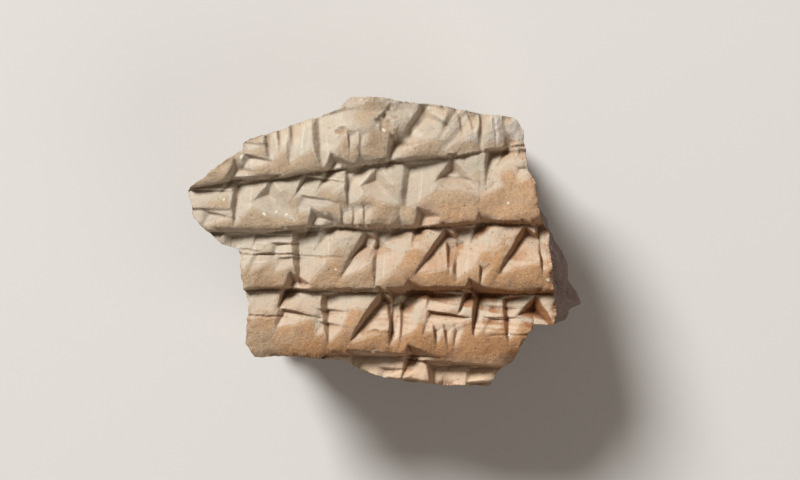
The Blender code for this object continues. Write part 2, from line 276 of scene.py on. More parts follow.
# Each kind: how much of the line it takes, how many lie one below the other and how far apart,
# where its head is, which way it points, its length, its sides' widths, how far along the gentle
# side starts, its depth, and on which side it is steep
STROKES = {
    "wide": dict(room=0.0037, stack=1, step=0.0, head=0.00055, below=0.00025, angle=-90,
                 length=0.0054, steep=0.00062, gentle=0.0038, lean=0.0019, deep=0.0011, turn=1),
    "slim": dict(room=0.0023, stack=1, step=0.0, head=0.0005, below=0.00025, angle=-90,
                 length=0.0049, steep=0.00055, gentle=0.0026, lean=0.0014, deep=0.00095, turn=1),
    "nail": dict(room=0.0033, stack=1, step=0.0, head=0.0012, below=0.0, angle=-97,
                 length=0.0046, steep=0.00115, gentle=0.0026, lean=0.0010, deep=0.0015, turn=1),
    "slant": dict(room=0.0044, stack=1, step=0.0, head=0.0041, below=0.00085, angle=-128,
                  length=0.0056, steep=0.0013, gentle=0.0034, lean=0.0, deep=0.00135, turn=1),
    "three": dict(room=0.0054, stack=3, step=0.0014, head=0.0004, below=0.00035, angle=-2,
                  length=0.0062, steep=0.00025, gentle=0.0017, lean=0.0004, deep=0.00074, turn=-1),
    "two": dict(room=0.0044, stack=2, step=0.0019, head=0.0004, below=0.00035, angle=-4,
                length=0.0050, steep=0.0003, gentle=0.0019, lean=0.0004, deep=0.00082, turn=-1),
    "corner": dict(room=0.0040, stack=1, step=0.0, head=0.0008, below=0.0014, angle=-43,
                   length=0.0044, steep=0.0012, gentle=0.0024, lean=0.0, deep=0.0015, turn=-1),
    "gap": dict(room=0.0042, stack=0),
}
# Where each line's strokes start, as a share of half the width, and the kinds in their order
LINES = (
    (-0.825, "two slim slim wide gap slant slant slim wide slant wide"),
    (-1.025, "two nail corner two slim corner wide corner nail two slant"),
    (-0.800, "slim two wide slant wide slant wide slant wide two"),
    (-0.750, "gap two slim slant wide two nail slim corner three slim wide"),
    (-0.680, "three slant wide two wide three slant wide three"),
)
# How much the strokes vary: the angle in degrees, and the rest as shares of what is given above
ANGLE_SPREAD = (-5, 5)
LENGTH_SPREAD = (0.9, 1.08)
GENTLE_SPREAD = (0.9, 1.1)
DEEP_SPREAD = (0.85, 1.2)
STROKE_SEED, BITE_SEED = 11, 4
FLOOR_ROUNDING = 0.00004
FLOOR_WAVES = ((0.00004, 0.0012, 23),)
LIP_ROUNDING = 0.00032
LIP_CHANGES = ((0.6, 0.0019, 22),)
LIP_RISE = 0.00005
LIP_SPREAD = 0.00016
# A pit's sides change the face up to so many lip roundings above it
LIP_FAR = 8
PRESS_FADE = 0.00012
HAND_DRIFT = 0.00014
DRIFTS_ACROSS = ((1.0, 0.0026, 18), (0.4, 0.0009, 19))
DRIFTS_ALONG = ((1.0, 0.0026, 20), (0.4, 0.0009, 21))
STREAKS_APART = 0.01
# How much deeper the strokes are for each metre to the right and down the face, as shares
DEEPER_ACROSS = 7.0
DEEPER_ALONG = 12.0
# The wall where a ridge overhangs a line: its slope, how far below the edge its foot is, and how deep
EDGE_WALL = 5.0
EDGE_SET = 0.00015
EDGE_DEEP = 0.0009
# How far a stroke may bite into the ridge above
BITES = (0.0, 0.0001, 0.0002, 0.0004)


def larger(a, b, rounding):
    """The larger of two heights, with the corner between them rounded."""
    return 0.5 * (a + b + np.sqrt((a - b) ** 2 + rounding**2))


def smaller(a, b, rounding):
    """The smaller of two heights, with the corner between them rounded."""
    return 0.5 * (a + b - np.sqrt((a - b) ** 2 + rounding**2))


def flat_through(first, second, third, x, y):
    """Height at each point of the flat surface that passes through three points."""
    normal = np.cross(second - first, third - first)
    return first[2] - (normal[0] * (x - first[0]) + normal[1] * (y - first[1])) / normal[2]


def on_face(place, drop=0.0):
    """A point on the ruled face, or below it."""
    height, _ = ridged(np.array(place[0]), np.array(place[1]))
    return np.array([place[0], place[1], float(height) - drop])


def pit(deepest, rim, x, y):
    """Height of a pit with three flat sides that meet at its deepest point: the steep and the
    gentle one run out to the tail, and the third rises to the head."""
    tail, steep, gentle, steep_head, gentle_head = rim
    steep_side = flat_through(deepest, tail, steep, x, y)
    gentle_side = flat_through(deepest, gentle, tail, x, y)
    head_side = flat_through(deepest, steep_head, gentle_head, x, y)
    return larger(larger(steep_side, gentle_side, FLOOR_ROUNDING), head_side, FLOOR_ROUNDING)


def wedge(head, angle, length, steep, gentle, lean, deep, turn, level):
    """One stroke's deepest point, the points of its rim, its head, and its directions along and
    across. Level gives a place its height on the surface that the stroke is pressed into."""
    along = np.array([math.cos(angle), math.sin(angle)])
    across = np.array([along[1], -along[0]]) * turn
    back = head - along * HEAD_REACH
    rim = (
        head + along * length, head + across * steep, head - across * gentle + along * lean,
        back + across * steep, back - across * gentle,
    )
    deepest = level(head + along * HEAD_SLOPE, deep)
    return deepest, [level(place) for place in rim], head, along, across


def presses():
    """The strokes of every line, in the order in which they were pressed."""
    chance = random.Random(STROKE_SEED)
    bite_chance = random.Random(BITE_SEED)
    for line, (start, groups) in enumerate(LINES):
        x = start * WIDTH / 2
        for group in groups.split():
            kind = STROKES[group]
            for level in range(kind["stack"]):
                head_x = x + kind["head"]
                head_y = float(upper_edge(line, head_x)) - kind["below"] - level * kind["step"]
                angle = math.radians(kind["angle"] + chance.uniform(*ANGLE_SPREAD))
                length = kind["length"] * chance.uniform(*LENGTH_SPREAD)
                gentle = kind["gentle"] * chance.uniform(*GENTLE_SPREAD)
                deep = kind["deep"] * chance.uniform(*DEEP_SPREAD)
                deep *= 1 + DEEPER_ACROSS * head_x - DEEPER_ALONG * head_y
                bite = bite_chance.choice(BITES) if level == 0 else 0
                head = np.array([head_x, head_y + bite])
                sides = kind["steep"], gentle, kind["lean"]
                yield line, bite, *wedge(head, angle, length, *sides, deep, kind["turn"], on_face)
            x += kind["room"]


def under_ridge(line, bite, x, y):
    """A steep wall that ends each line's strokes where the ridge of the line above overhangs them,
    or as far on as the stroke bit into it."""
    edge = upper_edge(line, x) + wobble + bite
    bottom = THICKNESS + crown(x, y) - LINE_HOLLOW - EDGE_DEEP
    return bottom + EDGE_WALL * (y - edge + EDGE_SET)


# A hand never presses quite straight: the strokes' edges bend by a tenth of a millimetre or so
bent_x = face_x + HAND_DRIFT * lumpy(face_x, face_y, 0, DRIFTS_ACROSS)
bent_y = face_y + HAND_DRIFT * lumpy(face_x, face_y, 0, DRIFTS_ALONG)
lip_rounding = LIP_ROUNDING * (1 + lumpy(face_x, face_y, 0, LIP_CHANGES))
floor_waves = lumpy(face_x, face_y, 0, FLOOR_WAVES)

# How far each point is pressed, and its place on the reed that pressed it last
pressed = np.zeros(face_z.shape)
reed = np.stack([face_x, face_y, np.zeros(face_z.shape)], axis=2)
for number, (line, bite, deepest, rim, head, along, across) in enumerate(presses()):
    floor = pit(deepest, rim, bent_x, bent_y) + floor_waves
    if line > 0:
        floor = larger(floor, under_ridge(line, bite, face_x, face_y), FLOOR_ROUNDING)
    over = floor - face_z
    cut = np.clip(-over / PRESS_FADE, 0, 1)
    face_z += LIP_RISE * np.exp(-((over / LIP_SPREAD) ** 2)) * (over > 0)
    face_z = np.where(over < LIP_FAR * lip_rounding, smaller(face_z, floor, lip_rounding), face_z)
    pressed = np.maximum(pressed, cut)
    away = np.stack([face_x - head[0], face_y - head[1]], axis=2)
    apart = np.full(face_z.shape, STREAKS_APART * number)
    place = np.stack([away @ across, away @ along, apart], axis=2)
    reed = np.where(cut[..., None] > 0.5, place, reed)

# Smaller strokes. The reed's edge alone left rows of nicks, bars, dashes and ticks between the
# large strokes, and its corner bit into the ridges above them.
SMALL_STROKES = {
    "nick": dict(angle=-90, length=0.0023, steep=0.00024, gentle=0.0010, deep=0.00052, turn=1),
    "bar": dict(angle=-88, length=0.0036, steep=0.00030, gentle=0.0013, deep=0.00078, turn=1),
    "dash": dict(angle=-3, length=0.0036, steep=0.00028, gentle=0.0014, deep=0.00062, turn=-1),
    "broad": dict(angle=-128, length=0.0042, steep=0.0010, gentle=0.0022, deep=0.0009, turn=1),
    "tick": dict(angle=-132, length=0.0024, steep=0.00055, gentle=0.0012, deep=0.00055, turn=1),
    "bite": dict(angle=-119, length=0.0034, steep=0.00085, gentle=0.0015, deep=0.0012, turn=1),
}
# Line, place along it as a share of half the width, share of the way down it, kind, how many, and
# the step from one to the next
SMALL_GROUPS = (
    (0, 0.230, -0.10, "broad", 2, (0.0030, -0.0002)),
    (0, -0.700, 0.62, "dash", 1, (0.0, 0.0)),
    (0, -0.600, 0.18, "bar", 3, (0.0013, 0.0002)),
    (0, -0.180, 0.30, "nick", 2, (0.0011, 0.0)),
    (0, 0.080, 0.42, "tick", 2, (0.0013, 0.0003)),
    (0, 0.380, 0.12, "nick", 3, (0.0010, 0.0)),
    (1, -0.100, -0.10, "broad", 1, (0.0, 0.0)),
    (1, 0.620, -0.08, "tick", 1, (0.0, 0.0)),
    (1, -0.900, 0.45, "dash", 1, (0.0, 0.0)),
    (1, -0.210, 0.64, "nick", 3, (0.0011, 0.0001)),
    (1, 0.300, 0.30, "dash", 1, (0.0, 0.0)),
    (1, 0.560, 0.48, "tick", 1, (0.0, 0.0)),
    (2, -0.250, -0.12, "broad", 1, (0.0, 0.0)),
    (2, 0.100, -0.10, "broad", 1, (0.0, 0.0)),
    (2, -0.560, 0.22, "dash", 2, (0.0004, -0.0014)),
    (2, 0.480, 0.66, "nick", 1, (0.0, 0.0)),
    (2, -0.090, 0.25, "tick", 2, (0.0012, 0.0)),
    (2, 0.330, 0.30, "bar", 1, (0.0, 0.0)),
    (3, 0.150, -0.08, "broad", 1, (0.0, 0.0)),
    (3, -0.330, 0.30, "dash", 2, (0.0, -0.0013)),
    (3, 0.020, 0.20, "bar", 2, (0.0014, 0.0)),
    (3, 0.260, 0.58, "nick", 3, (0.0010, 0.0)),
    (3, 0.520, 0.22, "dash", 2, (0.0, -0.0012)),
    (4, -0.020, 0.20, "dash", 1, (0.0, 0.0)),
    (1, -0.740, -0.22, "bite", 1, (0.0, 0.0)),
    (1, -0.250, -0.16, "bite", 1, (0.0, 0.0)),
    (1, 0.060, -0.30, "bite", 1, (0.0, 0.0)),
    (1, 0.640, -0.14, "bite", 1, (0.0, 0.0)),
    (2, -0.340, -0.20, "bite", 1, (0.0, 0.0)),
    (2, 0.200, -0.22, "bite", 1, (0.0, 0.0)),
    (2, 0.500, -0.10, "bite", 1, (0.0, 0.0)),
    (3, -0.450, -0.16, "bite", 1, (0.0, 0.0)),
    (3, 0.450, -0.12, "bite", 1, (0.0, 0.0)),
    (4, 0.150, -0.14, "bite", 1, (0.0, 0.0)),
    (4, 0.310, 0.25, "tick", 1, (0.0, 0.0)),
)
SMALL_SEED = 5
SMALL_ANGLE_SPREAD = (-7, 7)
SMALL_LENGTH_SPREAD = (0.8, 1.15)
SMALL_DEEP_SPREAD = (0.75, 1.2)
# How rounded their lips are and how far up that changes the face, both told from a large stroke's
SMALL_LIP = 0.5
SMALL_LIP_FAR = 4


def level_with(place, drop=0.0):
    """A point of a small stroke, whose heights are told from the surface around it."""
    return np.array([place[0], place[1], -drop])


def small_presses():
    """The smaller strokes, group by group."""
    chance = random.Random(SMALL_SEED)
    for line, start, share, name, count, step in SMALL_GROUPS:
        kind = SMALL_STROKES[name]
        x = start * WIDTH / 2
        first_y = float(upper_edge(line, x)) - share * LINE_PITCH
        for number in range(count):
            head = np.array([x + number * step[0], first_y + number * step[1]])
            angle = math.radians(kind["angle"] + chance.uniform(*SMALL_ANGLE_SPREAD))
            length = kind["length"] * chance.uniform(*SMALL_LENGTH_SPREAD)
            deep = kind["deep"] * chance.uniform(*SMALL_DEEP_SPREAD)
            sides = kind["steep"], kind["gentle"], 0
            yield wedge(head, angle, length, *sides, deep, kind["turn"], level_with)


for deepest, rim, *_ in small_presses():
    floor = pit(deepest, rim, bent_x, bent_y)
    lowered = smaller(0, floor, SMALL_LIP * lip_rounding)
    face_z += np.where(floor < SMALL_LIP_FAR * lip_rounding, lowered, 0)
    pressed = np.maximum(pressed, np.clip(-floor / PRESS_FADE, 0, 1))

# Damage to the face: a flake lost from the upper right corner and a gap beside the small block at
# the right edge, both as deep as the deeper strokes, with chips, cracks, crumbs and a worn rim.
FLAKE_DEPTH = 0.0016
GAP_DEPTH = 0.0017
FLAKE_LUMPS = ((0.00009, 0.0009, 5), (0.00004, 0.0003, 24))
# The deepest place, the tail and the two ends of the head, as shares of half the width and half
# the depth, and how deep it is
DAMAGE = (
    (((0.730, 0.820), (0.545, 0.620), (0.530, 1.140), (1.000, 0.600)), FLAKE_DEPTH),
    (((0.752, -0.470), (0.750, -0.640), (0.722, -0.385), (0.778, -0.385)), GAP_DEPTH),
)
# Small chips: place across and along the face, half the length and width, and the depth
CHIPS = (
    (0.0002, 0.0122, 0.0011, 0.0014, 0.00050), (-0.0043, 0.0112, 0.0008, 0.0006, 0.00035),
    (-0.0012, -0.0109, 0.0006, 0.0003, 0.00012), (0.0066, -0.0128, 0.0008, 0.0003, 0.00018),
)
CHIP_EDGE = 0.9
CHIP_OUTLINE = ((0.5, 0.0008, 28), (0.35, 0.0004, 32))
CHIP_GRAIN = ((0.3, 0.00035, 29),)
CHIP_TILT = 0.4
CHIP_TILT_LIMITS = (0.3, 1.7)
# Hairline cracks: from one place to another across and along the face
CRACKS = (
    ((-0.0147, -0.0007), (-0.0125, -0.0009)), ((-0.0147, -0.0013), (-0.0112, -0.0012)),
    ((-0.0112, -0.0012), (-0.0040, -0.0015)), ((-0.0139, -0.0073), (-0.0102, -0.0075)),
    ((0.0105, -0.0094), (0.0150, -0.0094)), ((-0.0016, -0.0089), (0.0008, -0.0091)),
    ((0.0110, 0.0129), (0.0112, 0.0097)),
)
CRACK_DEPTH = 0.00022
CRACK_WIDTH = 0.00009
CRACK_WANDER = ((0.00012, 0.0011, 33), (0.00005, 0.0003, 34))
CRACK_FADE = 0.0006
CRACK_START = 0.3
# Crumbs of stone and lime stuck to the face: place across and along it, and size
CRUMBS = (
    (-0.01435, 0.0087, 0.00036), (-0.0072, 0.0070, 0.00022), (0.0165, -0.0038, 0.00028),
    (-0.0050, -0.0027, 0.00024), (-0.0012, -0.0111, 0.00024), (-0.0100, 0.0015, 0.00018),
    (0.0125, -0.0094, 0.00016), (0.0021, 0.0031, 0.00014), (-0.0162, 0.0044, 0.00018),
    (-0.0121, 0.0029, 0.00020), (-0.0109, 0.0031, 0.00015), (-0.0099, 0.0028, 0.00013),
    (-0.0001, 0.0114, 0.00026), (-0.0007, 0.0119, 0.00018), (0.0124, 0.0040, 0.00014),
)
CRUMB_OUTLINE = ((0.6, 0.00025, 35),)
CRUMB_EDGE = 2.0
CRUMB_HEIGHT = 0.18
# The wear of the rim, and the larger chips where its lumps are higher than most
RIM_WEAR = 0.00060
RIM_REACH = 0.00030
RIM_EVEN = 0.55
RIM_CRUMBLE = ((0.45, 0.0007, 6),)
RIM_CHIPS = ((1.0, 0.0016, 25),)
RIM_CHIPS_ABOVE = 0.35
CHIP_DEPTH = 0.0006
CHIP_REACH = 0.0005
RIM_SKIP = 8

flaked = np.zeros(face_z.shape)
for places, depth in DAMAGE:
    deepest, *rim = [np.array(place) * (WIDTH / 2, DEPTH / 2) for place in places]
    rim = [on_face(place) for place in rim]
    floor = pit(on_face(deepest, depth), [*rim, *rim[1:]], face_x, face_y)
    floor += lumpy(face_x, face_y, 0, FLAKE_LUMPS)
    flaked = np.maximum(flaked, np.clip((face_z - floor) / PRESS_FADE, 0, 1))
    face_z = smaller(face_z, floor, LIP_ROUNDING)
chipped = np.zeros(face_z.shape)
for x, y, half_length, half_width, depth in CHIPS:
    across, along = (face_x - x) / half_length, (face_y - y) / half_width
    ragged = 1 + lumpy(face_x, face_y, 0, CHIP_OUTLINE)
    inside = np.clip((ragged - np.hypot(across, along)) / CHIP_EDGE, 0, 1)
    tilted = np.clip(1 + CHIP_TILT * (along - across), *CHIP_TILT_LIMITS)
    face_z -= depth * inside * tilted * (1 + lumpy(face_x, face_y, 0, CHIP_GRAIN))
    chipped = np.maximum(chipped, inside)
pressed = pressed * (1 - np.maximum(flaked, chipped))
for start, end in CRACKS:
    start, end = np.array(start), np.array(end)
    length = np.hypot(*(end - start))
    along = (end - start) / length
    across = np.array([-along[1], along[0]])
    away = np.stack([face_x - start[0], face_y - start[1]], axis=2)
    wander = lumpy(face_x, face_y, 0, CRACK_WANDER)
    inward = np.minimum(away @ along, length - away @ along)
    ends = np.clip(inward / CRACK_FADE + CRACK_START, 0, 1)
    face_z -= CRACK_DEPTH * ends * np.exp(-(((away @ across + wander) / CRACK_WIDTH) ** 2))
limy = np.zeros(face_z.shape)
for x, y, size in CRUMBS:
    ragged = 1 + lumpy(face_x, face_y, 0, CRUMB_OUTLINE)
    bump = np.clip(CRUMB_EDGE * (ragged - np.hypot(face_x - x, face_y - y) / size), 0, 1)
    face_z += CRUMB_HEIGHT * size * bump
    limy = np.maximum(limy, bump)

rim_distance = np.full(face_z.shape, 1.0)
for x, y in edge[::RIM_SKIP, :2]:
    rim_distance = np.minimum(rim_distance, np.hypot(face_x - x, face_y - y))
crumble = RIM_EVEN + lumpy(face_x, face_y, 0, RIM_CRUMBLE)
face_z -= RIM_WEAR * crumble * np.exp(-rim_distance / RIM_REACH)
chips = np.clip(lumpy(face_x, face_y, 0, RIM_CHIPS) - RIM_CHIPS_ABOVE, 0, 1)
face_z -= CHIP_DEPTH * chips * np.exp(-((rim_distance / CHIP_REACH) ** 2))

# Grain of the clay. Washed river clay kept some sand, which stands out on the bare ridges. Where
# the reed slid, it pressed the grains in and left the clay nearly smooth.
GRAIN = 0.00003
GRAINS = ((1.0, 0.0014, 7), (0.8, 0.0006, 8), (0.8, 0.0003, 9))
PRESSED_SMOOTH = 0.75
UNEVEN = 0.00008
UNEVEN_LUMPS = ((1.0, 0.0023, 30), (0.7, 0.0011, 31))
face_z += GRAIN * lumpy(face_x, face_y, 0, GRAINS) * (1 - PRESSED_SMOOTH * pressed)
face_z += UNEVEN * lumpy(face_x, face_y, 0, UNEVEN_LUMPS)

# The broken sides and the plain back. The sides broke off roughly and stand nearly upright, with a
# shelf that leans out at the right. The back is the tablet's other face, without writing.
SIDE_ROWS = 46
UPRIGHT = 0.80
# The slow waves of the broken side: strength, how many go round, their start, and their twist
LUMP_FADE = 0.2
BREAK_LUMPS = 0.0003
BREAK_WAVES = ((1.0, 3, 1.3, 4.0), (0.8, 7, -0.6, -7.0), (0.6, 12, 2.1, 11.0))
BACK_RISE = 0.0022
BACK_OVAL = 0.85
# How high the back has risen, as a share, at each share of the way out to its edge
BACK_SIZES = (0.50, 0.78, 0.93, 1.0, 1.2)
BACK_RISES = (0.0, 0.30, 0.65, 1.0, 2.0)
BACK_EVEN = 18
BACK_SINK = 0.00008
BACK_SKIN = ((0.00008, 0.0024, 14), (0.00003, 0.0006, 15))
BACK_SKIN_START = 0.0002
PITS = ((1.0, 0.0011, 36),)
PITS_ABOVE = 0.35
PIT_DEPTH = 0.0003
# The sizes of the back's rings of faces: fine ones near its edge, and coarse ones further in
FINE_RINGS = (0.993, 0.98, 0.96, 0.93, 0.895)
COARSE_RINGS = (0.85, 0.80, 0.74, 0.67, 0.59, 0.50, 0.35, 0.18)
# The break's large flat steps, its thin layers, its sharp creases and its fine lumps: how far each
# stands out, its lumps, how sharp it is, and how far it is set inwards
BREAK_STEP = 0.00055
STEP_LUMPS = ((2.2, 0.0046, 10), (0.5, 0.0014, 26))
STEP_SHARP = 4.5
STEP_INWARD = 0.6
BREAK_LAYER = 0.00018
LAYER_LUMPS = ((1.8, 0.0014, 27),)
LAYER_SHARP = 2.4
LAYER_INWARD = 0.9
LAYER_STRETCH = 2.2
LAYER_LEAN = 0.3
BREAK_RIDGE = 0.00034
CREASE_LUMPS = ((1.0, 0.0024, 11),)
CREASE_SHARP = 2.6
CREASE_INWARD = 0.6
BREAK_FINE = 0.00014
FINE_LUMPS = ((1.0, 0.0009, 12), (0.8, 0.00045, 13))
TEAR_DEPTH = 0.0013
SKIN_DEPTH = 0.0014
BELOW_RIM = 0.0035
SHELF_BULGE = 0.0036
SHELF_CALM = 0.9


def rim_order(grid):
    """A grid's border, anticlockwise from its first corner."""
    return np.concatenate([grid[:-1, 0], grid[-1, :-1], grid[:0:-1, -1], grid[0, :0:-1]])


def lumps(angle, share):
    """Swelling of the broken side: a sum of slow waves, mostly inwards, that fades out near the
    face."""
    waves = sum(
        strength * np.sin(count * angle + start + twist * share)
        for strength, count, start, twist in BREAK_WAVES
    )
    return BREAK_LUMPS * (waves - 1) * np.clip((UPRIGHT - share) / LUMP_FADE, 0, 1)


def stepped(values, sharp):
    """Values drawn towards whole numbers: flats at each whole number with a steep rise between."""
    whole = np.floor(values)
    return whole + eased(np.clip((values - whole - 0.5) * sharp + 0.5, 0, 1))


def fracture(x, y, z, calm):
    """How far the broken side stands out: large flat steps and sharp creases, less where it is
    calm, thin layers that lie as the clay was kneaded, and fine lumps."""
    step = stepped(lumpy(x, y, z, STEP_LUMPS), STEP_SHARP) - STEP_INWARD
    flat = x / LAYER_STRETCH, y / LAYER_STRETCH, z + LAYER_LEAN * x
    layer = stepped(lumpy(*flat, LAYER_LUMPS), LAYER_SHARP) - LAYER_INWARD * calm
    crease = 1 - CREASE_SHARP * np.abs(lumpy(x, y, z, CREASE_LUMPS)) - CREASE_INWARD
    fine = lumpy(x, y, z, FINE_LUMPS) - calm
    large = (BREAK_STEP * step + BREAK_RIDGE * crease) * (1 - calm)
    return large + BREAK_LAYER * layer + BREAK_FINE * fine


def side(share_down, start_z, end_z, start, bulge, smooth):
    """A row of the broken side, how far its fracture stands out, and how near it is to the face or
    the back. It leaves the torn rim, takes the edge's smooth course within a millimetre or so, and
    stands out or in by the bulge along an arch."""
    z = start_z + (end_z - start_z) * share_down
    height = z / THICKNESS
    ease = 1 - np.exp(-(start_z - z) / TEAR_DEPTH)
    place = start + (smooth - start) * ease[:, None]
    reach = np.hypot(*place.T)
    arch = np.sin(math.pi * np.minimum(height / UPRIGHT, 1))
    x, y = place.T
    broken = fracture(x, y, z, np.clip(bulge * arch / SHELF_BULGE, 0, SHELF_CALM)) * ease
    broken = np.where(broken > 0, broken * (1 - np.exp(-(start_z - z) / BELOW_RIM)), broken)
    grow = 1 + (bulge * arch + lumps(np.arctan2(y, x), height) + broken) / reach
    skin = np.exp(-(((start_z - z) / SKIN_DEPTH) ** 2)) + np.exp(-(((z - end_z) / SKIN_DEPTH) ** 2))
    return np.stack([x * grow, y * grow, z], axis=1), broken, skin


def evened(foot):
    """The foot of the side without its raggedness: each reach averaged with its neighbours'."""
    reach = np.hypot(*foot[:, :2].T)
    padded = np.concatenate([reach[-BACK_EVEN:], reach, reach[:BACK_EVEN]])
    return foot[:, :2] * (np.convolve(padded, bell(BACK_EVEN), "valid") / reach)[:, None]


def back(size, foot, even_foot):
    """A row of the back: the foot of the side drawn in and evened out towards an oval. Its height
    falls from the edge to the flat patch in the middle, by how far out the evened foot has it."""
    angle = np.arctan2(foot[:, 1], foot[:, 0])
    oval = np.stack([np.cos(angle) * WIDTH, np.sin(angle) * DEPTH], axis=1) * BACK_OVAL / 2
    even = min(1, 2 * (1 - size))
    place = (foot[:, :2] * (1 - even) + oval * even) * size
    even_reach = np.hypot(*(even_foot * (1 - even) + oval * even).T)
    rise = BACK_RISE * np.interp(np.hypot(*place.T) / even_reach, BACK_SIZES, BACK_RISES)
    pits = np.clip(lumpy(*place.T, 0, PITS) - PITS_ABOVE, 0, 1)
    skin = lumpy(*place.T, 0, BACK_SKIN) - BACK_SINK - PIT_DEPTH * pits
    z = np.maximum(rise + skin * np.clip(rise / BACK_SKIN_START, 0, 1), 0)
    return np.stack([place[:, 0], place[:, 1], z], axis=1)


# The side starts at every second point of the face's rim and goes down to the back's edge
numbers = np.arange(face_z.size).reshape(face_z.shape)
rim_numbers = rim_order(numbers)
borders = np.zeros(face_z.shape + (5,))
borders[:, 0], borders[:, -1], borders[0], borders[-1] = bottom, top, left, right
rim_edge = rim_order(borders)[::2]
rim_z = face_z.ravel()[rim_numbers][::2]

shares = (np.arange(SIDE_ROWS) + 0.5) / (SIDE_ROWS - 0.5)
rim_place, rim_bulge, rim_smooth = rim_edge[:, :2], rim_edge[:, 2], rim_edge[:, 3:]
first_foot, _, _ = side(1, rim_z, np.full(len(rim_z), BACK_RISE), rim_place, rim_bulge, rim_smooth)
foot_z = back(1, first_foot, evened(first_foot))[:, 2]
rows = [side(share, rim_z, foot_z, rim_place, rim_bulge, rim_smooth) for share in shares]
rings, *measures = (list(parts) for parts in zip(*rows))
break_depth, side_skin = np.array(measures)
foot, even_foot = rings[-1], evened(rings[-1])
rings += [back(size, foot, even_foot) for size in FINE_RINGS]
rings += [back(size, foot[::2], even_foot[::2]) for size in COARSE_RINGS]
centre = np.zeros((1, 3))
face_points = np.stack([face_x, face_y, face_z], axis=2).reshape(-1, 3)
points = np.concatenate([face_points, *rings, centre])


def strip(outer, inner):
    """Faces between two rings of point numbers, the inner one as fine or half as fine."""
    if len(outer) == len(inner):
        return np.stack([inner, np.roll(inner, -1), np.roll(outer, -1), outer], axis=1).tolist()
    even, odd = outer[::2], outer[1::2]
    after, beyond = np.roll(inner, -1), np.roll(even, -1)
    triangles = ((even, inner, odd), (inner, after, odd), (odd, after, beyond))
    return np.concatenate([np.stack(corners, axis=1) for corners in triangles]).tolist()


faces = np.stack(
    [numbers[:-1, :-1], numbers[1:, :-1], numbers[1:, 1:], numbers[:-1, 1:]], axis=2
).reshape(-1, 4).tolist()
outer, first = rim_numbers, face_z.size
for ring in rings:
    inner = np.arange(first, first + len(ring))
    faces += strip(outer, inner)
    outer, first = inner, first + len(ring)
tip = np.full(len(outer), first)
faces += np.stack([tip, np.roll(outer, -1), outer], axis=1).tolist()

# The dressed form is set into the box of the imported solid, a hair inside it
INSIDE = 0.00001
low, high = (np.array(corner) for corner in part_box("tablet_fragment"))
lowest, highest = points.min(0), points.max(0)
fit = (high - low - 2 * INSIDE) / (highest - lowest)
points = (points - lowest) * fit + low + INSIDE
print("fit to the solid's box", fit.round(4), "triangles", sum(len(face) - 2 for face in faces))

clay_mesh = bpy.data.meshes.new("clay_fragment")
clay_mesh.from_pydata(points.tolist(), [], faces)
clay_mesh.shade_smooth()
fragment = bpy.data.objects.new("clay_fragment", clay_mesh)
bpy.context.collection.objects.link(fragment)

# What the finish needs to know of each point. Hollows and creases get painted shade, each with how far
# round it is looked at and how deep a full one is, and the rim and the chips show some of the core.
STEEPEST = 1.3
SMOOTH_REACH = 4
HOLLOW = (7, 0.0003)
CREASE = (2, 0.00005)
BREAK_HOLLOW = (4, 0.0002)
BREAK_CREASE = (1, 0.00008)
RIM_CORE = 0.6
RIM_CORE_REACH = 0.0002
CHIP_CORE = 0.7
SIDE_DOWN = 0.6
BACK_DOWN = 0.5


def averaged(level, reach):
    """A grid's values, each averaged with those around it, first down and then along the grid."""
    for _ in range(2):
        padded = np.pad(level, [(reach, reach), (0, 0)], mode="edge")
        level = np.stack([np.convolve(run, bell(reach), "valid") for run in padded.T])
    return level


def sunken(level, reach, depth):
    """How far each point of a grid lies below those around it, from -1 to 1."""
    return np.clip((averaged(level, reach) - level) / depth, -1, 1)


def mark(name, face_values, side_values, back_value):
    """Stores a number at every point of the mesh: the face's own, the side's and the back's."""
    values = np.full(len(points), float(back_value))
    values[: face_z.size] = face_values.ravel()
    values[face_z.size: face_z.size + break_depth.size] = np.ravel(side_values)
    layer = clay_mesh.attributes.new(name, "FLOAT", "POINT")
    layer.data.foreach_set("value", values)


slope = np.hypot(*np.gradient(face_z)) / np.hypot(*np.gradient(face_x))
rim_core = RIM_CORE * np.exp(-rim_distance / RIM_CORE_REACH)
# Steepness of the face, which the finish turns into painted shade on steep walls
mark("steep", np.clip(slope / STEEPEST, 0, 1), 0, 0)
mark("pressed", pressed, 0, 0)
mark("smooth", averaged(pressed, SMOOTH_REACH), 0, 0)
mark("broken", np.maximum(rim_core, CHIP_CORE * chipped), 1, 0)
mark("flaked", flaked, 0, 0)
mark("limy", limy, 0, 0)
mark("down", line_share, SIDE_DOWN, BACK_DOWN)
# How sunken or raised each point is, which the finish turns into painted shade in hollows and creases and
# a painted highlight on edges
mark("hollow", sunken(face_z, *HOLLOW), sunken(break_depth, *BREAK_HOLLOW), 0)
mark("crease", sunken(face_z, *CREASE), sunken(break_depth, *BREAK_CREASE), 0)
mark("skin", np.ones(face_z.shape), side_skin, 1)
places = points.copy()
places[: face_z.size] = reed.reshape(-1, 3)
layer = clay_mesh.attributes.new("reed", "FLOAT_VECTOR", "POINT")
layer.data.foreach_set("vector", places.ravel())


